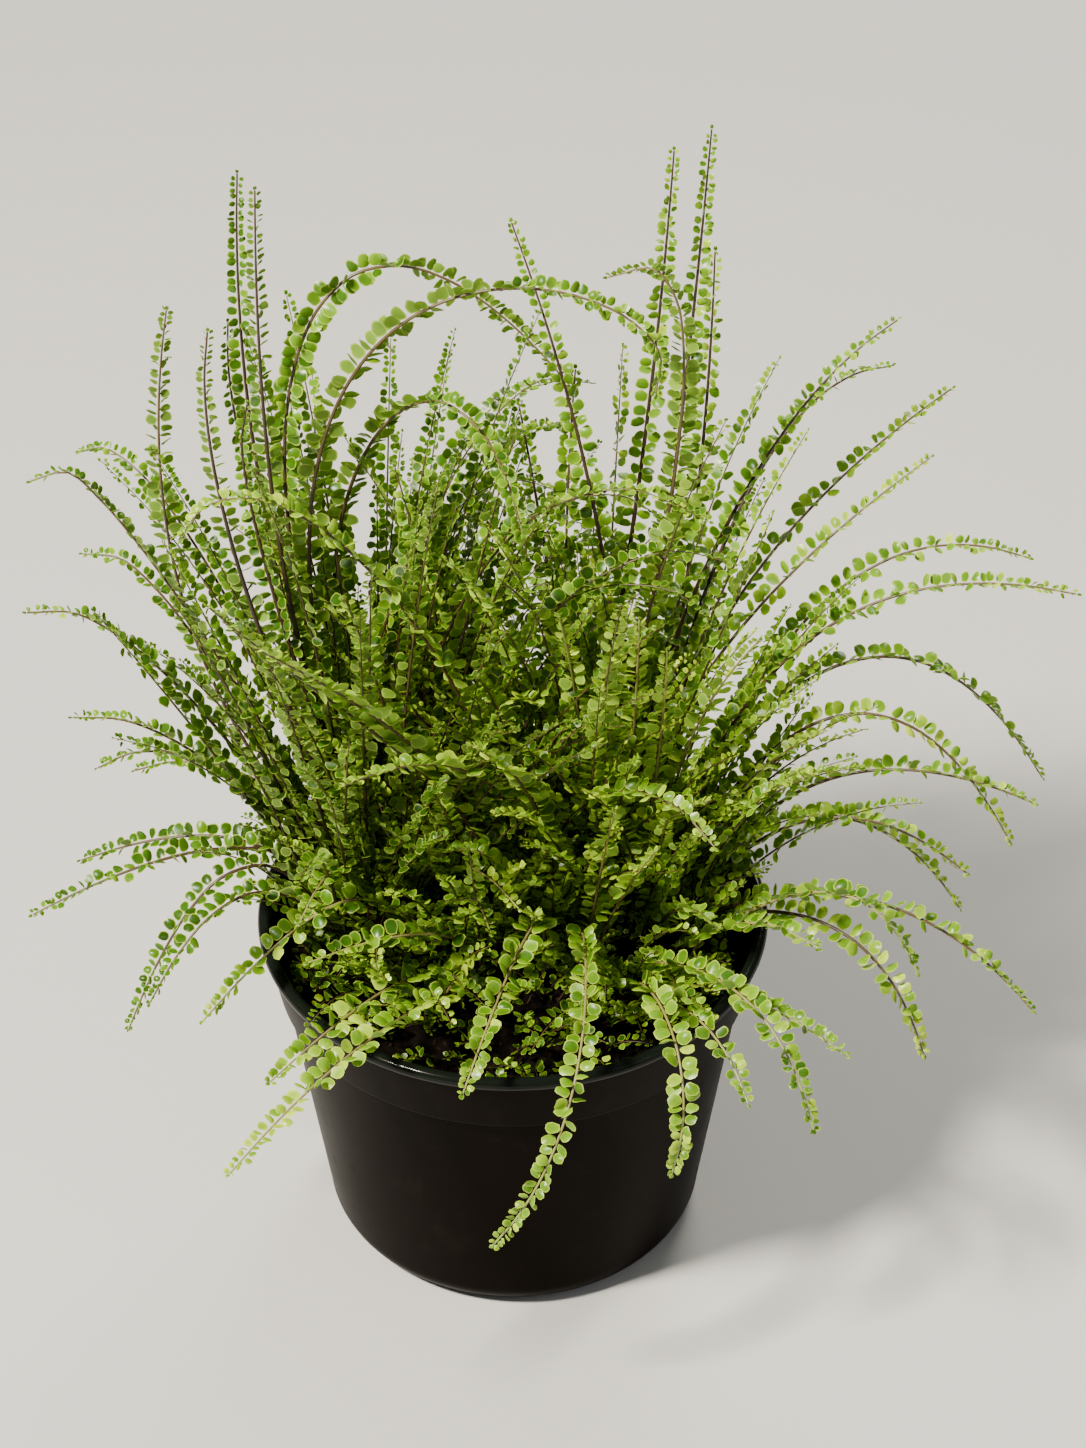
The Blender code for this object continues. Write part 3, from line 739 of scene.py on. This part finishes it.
def neighbours(members, groups, stations):
    """The stations joined to this one by an edge, or past one vertex between them."""
    found = {}
    for vert in members:
        for edge in vert.link_edges:
            near = edge.other_vert(vert)
            for other in [near] + [link.other_vert(near) for link in near.link_edges]:
                group = groups[other]
                if group is not members and id(group) in stations:
                    found[id(group)] = group
    return list(found.values())


def walk_down(end, groups, stations, far, root):
    """From the last station before a tip down to the root; returned as a rib from root to tip."""
    beyond = [edge.other_vert(member) for member in end for edge in member.link_edges]
    tip = max(beyond, key=lambda vert: far[vert]).co
    points, sides = [tip.copy()], [None]
    here = end
    while here is not None:
        middle, side = middle_and_side(here)
        if middle.z > (SOIL_TOP + 1) * MM or (middle - root).to_2d().length > TUFT_RADIUS:
            points.append(middle)
            sides.append(side)
        nearer = [other for other in neighbours(here, groups, stations)
                  if far[other[0]] < far[here[0]] - STATION_REACH]
        here = max(nearer, key=lambda other: far[other[0]]) if nearer else None
    points.append(Vector((root.x, root.y, (SOIL_TOP - RIB_DEPTH) * MM)))
    sides.append(None)
    points.reverse()
    sides.reverse()
    known = [index for index, side in enumerate(sides) if side is not None]
    for index in range(len(sides)):
        if sides[index] is None:
            sides[index] = sides[min(known, key=lambda other: abs(other - index))]
    return Rib([tuple(point / MM) for point in points], [tuple(side) for side in sides])


class Planting:
    """Everything that is set on points for one piece: leaflets and the lines of their stems."""

    def __init__(self, rng):
        self.rng = rng
        self.rows = {name: [] for name in ("place", "face", "reach", "size", "kind", "tone")}
        self.line_points, self.line_edges, self.thickness, self.along = [], [], [], []

    def stem(self, rib, foot_radius, tip_radius, foot_tone, tip_tone):
        """A line of points along a rib, with the stem's radius and place in its colours at each."""
        first = len(self.line_points)
        count = max(6, round(rib.length / STEM_STATION))
        distances = np.linspace(0.0, rib.length, count)
        points = rib.at(distances)[0]
        shares = distances / rib.length
        self.line_points += list(points * MM)
        self.line_edges += [(first + index, first + index + 1) for index in range(count - 1)]
        self.thickness += list((foot_radius + (tip_radius - foot_radius) * shares**1.5) * MM)
        self.along += list(foot_tone + (tip_tone - foot_tone) * shares)

    def leaflets(self, rib, start, full, spacing, tone, kinds):
        """Two alternate rows of leaflets from start to the tip; full is the longest leaflet."""
        run = rib.length - start
        for sign, shift in ((-1.0, 0.0), (1.0, 0.5)):
            distance = start + spacing * shift
            distances, lengths = [], []
            while distance < rib.length - 0.3:
                share = leaflet_share((distance - start) / run)
                distances.append(distance)
                lengths.append(full * share)
                distance += spacing * max(share, LEAST_SPACING) * self.rng.uniform(0.92, 1.08)
            self.row(rib, np.array(distances), np.array(lengths), sign, tone, kinds)
        self.row(rib, np.array([rib.length - 0.4]), np.array([full * TIP_SHARE]), 0.0, tone, kinds)

    def row(self, rib, distances, lengths, sign, tone, kinds):
        """One row of leaflets on a side of the rib, or the single one at the tip where sign is 0."""
        rng = self.rng
        count = len(distances)
        points, tangents, sides, ups = rib.at(distances)
        raised = CUP + rng.normal(0.0, CUP_SPREAD, count)
        sweep = SWEEP + rng.normal(0.0, SWEEP_SPREAD, count) + SMALL_SWEEP * (1 - lengths / lengths.max())
        if sign == 0.0:
            reach, face = tangents, ups
        else:
            out = sides * sign * np.cos(raised)[:, None] + ups * np.sin(raised)[:, None]
            face = ups * np.cos(raised)[:, None] - sides * sign * np.sin(raised)[:, None]
            reach = unit(out * np.cos(sweep)[:, None] + tangents * np.sin(sweep)[:, None])
            face = face + np.array([0.0, 0.0, LIGHT_SEEKING])
            face = unit(face - reach * np.sum(face * reach, axis=1, keepdims=True))
            roll = rng.normal(0.0, ROLL_SPREAD, count)[:, None]
            face = face * np.cos(roll) + np.cross(reach, face) * np.sin(roll)
        lengths = lengths * rng.uniform(0.92, 1.08, count)
        widths = lengths * LEAFLET_BREADTH * rng.uniform(0.90, 1.08, count)
        foot = points + reach * STALK
        sizes = np.stack([widths, lengths, np.maximum(lengths, LEAST_DEPTH)], axis=1) * MM
        youth = np.clip((distances - distances.min()) / max(np.ptp(distances), 1.0), 0, 1)
        tones = tone - TONE_DROP + YOUNG_TONE * youth**2 + rng.normal(0.0, TONE_SPREAD, count)
        for name, values in (("place", foot * MM), ("face", face), ("reach", reach), ("size", sizes),
                             ("kind", rng.integers(0, kinds, count)), ("tone", np.clip(tones, 0, 1))):
            self.rows[name].append(values)

    def leaflet_points(self, name):
        joined = {key: np.concatenate(values) for key, values in self.rows.items()}
        mesh = mesh_from(name, joined["place"])
        for key in ("face", "reach", "size"):
            give_attribute(mesh, key, "FLOAT_VECTOR", joined[key])
        give_attribute(mesh, "kind", "INT", joined["kind"].astype(np.int32))
        give_attribute(mesh, "tone", "FLOAT", joined["tone"])
        return mesh

    def stem_lines(self, name):
        mesh = mesh_from(name, self.line_points, edges=self.line_edges)
        give_attribute(mesh, "thickness", "FLOAT", self.thickness)
        give_attribute(mesh, "along", "FLOAT", self.along)
        return mesh


def leaflet_share(share):
    """A leaflet's length along the frond's leafy run, as a share of the longest."""
    rise = min(share / FOOT_RUN, 1.0)
    fall = min((1.0 - share) / TIP_RUN, 1.0)
    return (FOOT_SHARE + (1.0 - FOOT_SHARE) * rise) * (TIP_SHARE + (1.0 - TIP_SHARE) * fall**0.75)


def joined_piece(name, meshes):
    """Join meshes with their materials into one piece at the origin."""
    parts = [new_object(name + " part", mesh) for mesh in meshes]
    with bpy.context.temp_override(active_object=parts[0], selected_editable_objects=parts,
                                   selected_objects=parts, object=parts[0]):
        bpy.ops.object.join()
    piece = parts[0]
    piece.name = name
    piece.data.name = name
    for layer in list(piece.data.attributes):
        if layer.name in ("face", "reach", "size", "kind", "thickness"):
            piece.data.attributes.remove(layer)
    return piece


def plant_piece(name, planting, leaf, stem, kinds, trees, sides=6):
    """Grow the leaflets and stems of a planting and join them into one piece."""
    leaflets = grown(name + " leaflets", planting.leaflet_points(name), trees["plant"], {
        "Kinds": kinds, "Size": 1.0, "Tumble": 0.10, "Seed": SEED, "Finish": leaf})
    stems = grown(name + " stems", planting.stem_lines(name), trees["stem"], {
        "Sides": sides, "Thickness": 1.0, "Finish": stem})
    stems.shade_smooth()
    return joined_piece(name, [leaflets, stems])


def make_fronds(leaf, stem, trees):
    """Dress each group of CAD fronds along the ribs of its solids."""
    rng = np.random.default_rng(SEED)
    kinds = leaflet_kinds("leaflet", EDGE_POINTS, LEAFLET_SHAPES)
    numbered = {int(name[-2:]): name for name in frame["nodes"] if name.startswith("frond")}
    for group, (numbers, full, spacing, thick, tone, foot_tone, tip_tone) in FROND_GROUPS.items():
        planting = Planting(rng)
        nodes = [numbered[number] for number in numbers]
        for node in nodes:
            for rib in read_ribs(node):
                planting.stem(rib, thick, STEM_TIP_RADIUS, foot_tone, tip_tone)
                start = max(rib.length * LEAFY_FROM, LEAFY_ABOVE)
                # Each group's paleness carries painted shade: lower on the left crown.
                planting.leaflets(rib, start, full * rng.uniform(0.94, 1.05),
                                  spacing * rng.uniform(0.95, 1.06), tone + rng.normal(0.0, 0.07),
                                  len(kinds.objects))
        piece = plant_piece(group, planting, leaf, stem, kinds, trees)
        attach(piece, "root")
        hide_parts(*nodes)
    drop_collection(kinds)


def sprig_rib(root, bearing, length, foot_lean, tip_lean, turn, late):
    """A small frond's rib: it leaves the peat at foot_lean from upright and bows over to tip_lean."""
    heading = np.array([math.cos(bearing), math.sin(bearing), 0.0])
    up = np.array([0.0, 0.0, 1.0])
    across = np.array([-heading[1], heading[0], 0.0])
    stations = [np.array(root, float)]
    for index in range(SPRIG_STEPS):
        share = (index + 0.5) / SPRIG_STEPS
        lean = foot_lean + (tip_lean - foot_lean) * share**late
        ahead = heading * math.sin(lean) + up * math.cos(lean)
        stations.append(stations[-1] + ahead * length / SPRIG_STEPS)
    side = across * math.cos(turn) + heading * math.sin(turn)
    return Rib(stations, [-side for _ in stations])


def within(points, limits):
    """Whether a small frond stays in the box that the CAD fronds fill, and clear of the pot's wall."""
    low = points[points[:, 2] < POT_HEIGHT + SPRIG_CLEARANCE]
    clear = np.all(np.linalg.norm(low[:, :2], axis=1) < SPRIG_LIMIT + 2)
    return bool(clear and np.all(points > limits[0]) and np.all(points < limits[1]))


def make_sprigs(leaf, stem, trees):
    """Young fronds that fill both crowns and hide the peat."""
    rng = np.random.default_rng(SEED + 1)
    kinds = leaflet_kinds("small leaflet", SMALL_EDGE_POINTS, SMALL_LEAFLET_SHAPES)
    limits = np.array([tuple(corner) for corner in cad_box]) / MM
    for name, (x, y, spread, count, least, most, steep, full, tone) in SPRIG_BEDS.items():
        planting = Planting(rng)
        heading, fan, least_bow, most_bow, late = SPRIG_LEANS.get(name, ALL_ROUND)
        for step in range(count):
            bearing = step * GOLDEN_ANGLE + rng.normal(0.0, 0.4)
            away = math.sqrt((step + 0.5) / count)
            root = np.array([x + spread * away * math.cos(bearing), y + spread * away * math.sin(bearing)])
            far = np.linalg.norm(root)
            if far > SPRIG_LIMIT:
                root *= SPRIG_LIMIT / far
            length = rng.uniform(least, most) * (1.0 - 0.25 * away)
            foot_lean = (1.0 - steep) * 0.5 + 0.35 * away + rng.normal(0.0, 0.08)
            tip_lean = foot_lean + rng.uniform(least_bow, most_bow)
            facing, turn = bearing + rng.normal(0.0, 0.35), rng.normal(0.0, 0.5) * steep
            if fan < 180:
                facing = math.radians(heading + fan * rng.uniform(-1.0, 1.0))
            foot = (*root, SOIL_TOP - SPRIG_DEPTH)
            rib = sprig_rib(foot, facing, length, foot_lean, tip_lean, turn, late)
            while not within(rib.points, limits):
                length *= SPRIG_SHRINK
                rib = sprig_rib(foot, facing, length, foot_lean, tip_lean, turn, late)
            planting.stem(rib, SPRIG_FOOT_RADIUS + length * SPRIG_FOOT_SWELL, SPRIG_TIP_RADIUS,
                          rng.uniform(0.0, 0.25), SPRIG_TIP_TONE)
            bare = SPRIG_LEAFY_FROM + SPRIG_LEAFY_RISE * length / most
            # Longer small fronds get paler leaflets: painted light, as their tops reach higher into it.
            planting.leaflets(rib, length * bare, full * rng.uniform(0.85, 1.12), full * SPRIG_SPACING,
                              tone + rng.normal(0.0, 0.10) + 0.06 * length / most, len(kinds.objects))
        piece = plant_piece(name, planting, leaf, stem, kinds, trees, sides=4)
        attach(piece, "root")
    drop_collection(kinds)


def wall_radius(height):
    """The tapering wall's outer radius at a height."""
    top = RIM_RADIUS - LIP_ROLL - COLLAR_STEP
    return FOOT_RADIUS + (top - FOOT_RADIUS) * (height - CORNER) / (POT_HEIGHT - CORNER)


def arc(centre_x, centre_z, radius, start, end, count):
    """Points along an arc of the profile, with its ends in degrees."""
    angles = np.radians(np.linspace(start, end, count + 1))
    return [(centre_x + radius * math.cos(a), centre_z + radius * math.sin(a)) for a in angles]


def pot_profile():
    """The pot's outline from the middle of its underside, over the lip and down to its floor."""
    collar = POT_HEIGHT - COLLAR_DROP
    lip = POT_HEIGHT - LIP_ROLL
    lip_centre = RIM_RADIUS - LIP_ROLL
    step = wall_radius(collar)
    outer = [(0.0, 1.0), (18.0, 1.0), (19.0, 0.5), (21.0, 0.5), (22.0, 1.0), (30.0, 0.9),
             (FOOT_RADIUS - CORNER, 0.0)]
    outer += arc(FOOT_RADIUS - CORNER, CORNER, CORNER, -84, 0, 9)
    outer += [(wall_radius(collar - 1.4), collar - 1.4)]
    outer += arc(step + COLLAR_STEP - 1.0, collar + 0.2, 1.0, -75, -3, 4)
    outer += [(lip_centre + 0.3, lip - LIP_ROLL - 0.2), (lip_centre + 0.7, lip - LIP_ROLL + 0.1)]
    outer += arc(lip_centre, lip, LIP_ROLL, -58, 205, 16)
    floor_edge = FOOT_RADIUS - WALL
    inner = [(wall_radius(collar) - WALL, collar), (wall_radius(CORNER) - WALL, CORNER)]
    inner += [(floor_edge - CORNER_INSIDE, FLOOR + 1.0), (floor_edge - CORNER, FLOOR), (0.0, FLOOR)]
    return outer + inner


def turned(name, profile, sides):
    """A closed outline of (radius, height) points in mm spun about the pot's axis."""
    bm = bmesh.new()
    verts = [bm.verts.new((radius * MM, 0.0, height * MM)) for radius, height in profile]
    edges = [bm.edges.new(pair) for pair in zip(verts, verts[1:])]
    bmesh.ops.spin(bm, geom=verts + edges, cent=(0, 0, 0), axis=(0, 0, 1), dvec=(0, 0, 0),
                   angle=math.tau, steps=sides, use_merge=True, use_duplicate=False)
    bmesh.ops.remove_doubles(bm, verts=bm.verts, dist=1e-6)
    bmesh.ops.recalc_face_normals(bm, faces=bm.faces)
    mesh = bpy.data.meshes.new(name)
    bm.to_mesh(mesh)
    bm.free()
    return mesh


def make_pot(finish):
    """The turned pot, with its drain holes cut through the floor."""
    pot = new_object("grower_pot", turned("grower_pot", pot_profile(), POT_SIDES))
    bm = bmesh.new()
    for index in range(DRAIN_COUNT):
        angle = math.tau * (index + 0.5) / DRAIN_COUNT
        made = bmesh.ops.create_cone(bm, cap_ends=True, segments=32, radius1=DRAIN_RADIUS * MM,
                                     radius2=DRAIN_RADIUS * MM, depth=3 * FLOOR * MM)
        bmesh.ops.translate(bm, verts=made["verts"], vec=Vector((
            DRAIN_CIRCLE * math.cos(angle), DRAIN_CIRCLE * math.sin(angle), FLOOR / 2)) * MM)
    drains = bpy.data.meshes.new("drains")
    bm.to_mesh(drains)
    bm.free()
    cutter = new_object("drains", drains)
    cut = pot.modifiers.new("drains", "BOOLEAN")
    cut.operation = "DIFFERENCE"
    cut.object = cutter
    mesh = bpy.data.meshes.new_from_object(pot.evaluated_get(bpy.context.evaluated_depsgraph_get()))
    pot.modifiers.clear()
    pot.data = mesh
    bpy.data.objects.remove(cutter)
    mesh.materials.clear()
    mesh.materials.append(finish)
    mesh.shade_smooth()
    mesh.set_sharp_from_angle(angle=SHARP_FROM)
    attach(pot, "root")
    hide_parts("pot")


def soil_height(x, y):
    """The peat's surface: flat in the middle, lower at the wall, with low lumps."""
    away = np.hypot(x, y)
    edge = np.clip((away - SOIL_FLAT) / 10.0, 0.0, 1.0)
    lumps = np.zeros_like(x)
    rng = np.random.default_rng(SEED + 2)
    for wave in SOIL_WAVES:
        for _ in range(5):
            angle, phase = rng.uniform(0, math.tau, 2)
            across = x * math.cos(angle) + y * math.sin(angle)
            lumps = lumps + LUMP_SHARE * wave * np.sin(across * math.tau / wave + phase)
    return SOIL_TOP - (SOIL_TOP - SOIL_EDGE) * edge + np.minimum(lumps, 1.6) - 0.8


def make_soil(finish, trees):
    """A lumpy disc of peat down to the pot's floor, and loose crumbs over its top."""
    limit = wall_radius(SOIL_EDGE) - WALL - SOIL_GAP
    points, faces = [(0.0, 0.0, float(soil_height(np.zeros(1), np.zeros(1))[0]))], []
    radii = limit * (np.arange(1, SOIL_RINGS + 1) / SOIL_RINGS) ** 0.8
    angles = math.tau * np.arange(SOIL_SPOKES) / SOIL_SPOKES
    for radius in radii:
        x, y = radius * np.cos(angles), radius * np.sin(angles)
        points += list(zip(x, y, soil_height(x, y)))
    underside = FLOOR + SOIL_GAP + 0.1
    for height in (60.0, CORNER, underside):
        radius = wall_radius(height) - WALL - SOIL_GAP if height > underside else FOOT_RADIUS - WALL - CORNER
        points += list(zip(radius * np.cos(angles), radius * np.sin(angles), np.full(SOIL_SPOKES, height)))
    points.append((0.0, 0.0, underside))
    rings = SOIL_RINGS + 3
    for spoke in range(SOIL_SPOKES):
        following = (spoke + 1) % SOIL_SPOKES
        faces.append((0, 1 + spoke, 1 + following))
        for ring in range(rings - 1):
            low, high = 1 + ring * SOIL_SPOKES, 1 + (ring + 1) * SOIL_SPOKES
            faces.append((low + spoke, high + spoke, high + following, low + following))
        last = 1 + (rings - 1) * SOIL_SPOKES
        faces.append((last + spoke, len(points) - 1, last + following))
    mesh = mesh_from("peat", np.array(points) * MM, faces=faces)
    give_attribute(mesh, "tone", "FLOAT", np.full(len(points), 0.35))
    mesh.shade_smooth()
    mesh.materials.append(finish)
    peat = new_object("peat", mesh)
    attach(peat, "root")
    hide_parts("soil")
    make_crumbs(finish, trees, limit)


def make_crumbs(finish, trees, limit):
    """Loose crumbs strewn over the peat, turned every way."""
    rng = np.random.default_rng(SEED + 3)
    count = int(CRUMBS_PER_M2 * math.pi * (limit * MM) ** 2)
    away = (limit - 1.5) * np.sqrt(rng.uniform(0.0, 1.0, count))
    bearing = rng.uniform(0.0, math.tau, count)
    x, y = away * np.cos(bearing), away * np.sin(bearing)
    z = soil_height(x, y) + 0.1
    sizes = np.minimum(rng.gamma(*CRUMB_GAMMA, count) + LEAST_CRUMB, MOST_CRUMB)
    mesh = mesh_from("crumbs", np.stack([x, y, z], axis=1) * MM)
    for direction in ("face", "reach"):
        give_attribute(mesh, direction, "FLOAT_VECTOR", unit(rng.normal(0.0, 1.0, (count, 3))))
    give_attribute(mesh, "size", "FLOAT_VECTOR", np.repeat(sizes[:, None], 3, axis=1) * MM)
    give_attribute(mesh, "kind", "INT", rng.integers(0, len(CRUMB_STRETCHES), count).astype(np.int32))
    give_attribute(mesh, "tone", "FLOAT", np.clip(rng.normal(0.35, 0.28, count), 0, 1))
    kinds = kinds_collection("crumb kinds", [
        crumb_shape("crumb %d" % number, rng, stretch) for number, stretch in enumerate(CRUMB_STRETCHES)])
    grit = grown("peat_crumbs", mesh, trees["plant"], {
        "Kinds": kinds, "Size": 1.0, "Tumble": 0.3, "Seed": SEED, "Finish": finish})
    drop_collection(kinds)
    piece = joined_piece("peat_crumbs", [grit])
    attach(piece, "root")


def make_floor():
    corners = [(x * FLOOR_REACH, y * FLOOR_REACH, 0.0) for x, y in ((-1, -1), (1, -1), (1, 1), (-1, 1))]
    mesh = mesh_from("floor", corners, faces=[(0, 1, 2, 3)])
    mesh.materials.append(floor_finish())
    floor = new_object("floor", mesh)


def area_light(name, place, target, size, power, colour):
    """A round soft light, size metres across, turned to its target."""
    light = bpy.data.lights.new(name, "AREA")
    light.shape = "DISK"
    light.size = size
    light.energy = power
    light.color = colour
    obj = bpy.data.objects.new(name, light)
    bpy.context.scene.collection.objects.link(obj)
    obj.location = place
    obj.rotation_euler = (Vector(target) - Vector(place)).to_track_quat("-Z", "Y").to_euler()


def make_light():
    world = bpy.data.worlds.new("studio")
    world.use_nodes = True
    bench = Bench(world.node_tree)
    sky = bench.node("ShaderNodeBackground", {}, {"Color": (0.97, 0.98, 1.0, 1.0), "Strength": 0.22})
    bench.node("ShaderNodeOutputWorld", {}, {"Surface": sky["Background"]})
    bpy.context.scene.world = world
    middle = (0.0, 0.0, 0.2)
    area_light("key", (-1.1, -0.75, 1.9), middle, 0.32, 148.0, (1.0, 0.94, 0.80))
    area_light("fill", (1.5, -0.7, 1.1), middle, 1.2, 5.0, (0.96, 0.97, 1.0))
    area_light("back", (0.5, 1.4, 1.5), middle, 0.8, 26.0, (1.0, 0.95, 0.82))


def make_camera():
    """The camera at the picture's angle."""
    camera = bpy.data.cameras.new("camera")
    camera.lens = LENS
    camera.sensor_width = SENSOR
    camera.clip_end = 20.0
    obj = bpy.data.objects.new("camera", camera)
    bpy.context.scene.collection.objects.link(obj)
    obj.location = CAMERA_PLACE
    obj.rotation_euler = (math.radians(90.0 - PITCH_DOWN), 0.0, 0.0)
    bpy.context.scene.camera = obj


def build():
    make_camera()
    make_light()
    make_floor()
    trees = {"plant": planting_tree(), "stem": stem_tree()}
    leaf, stem, peat = leaf_finish(), stem_finish(), peat_finish()
    make_pot(pot_finish())
    make_soil(peat, trees)
    make_fronds(leaf, stem, trees)
    make_sprigs(leaf, stem, trees)


build()
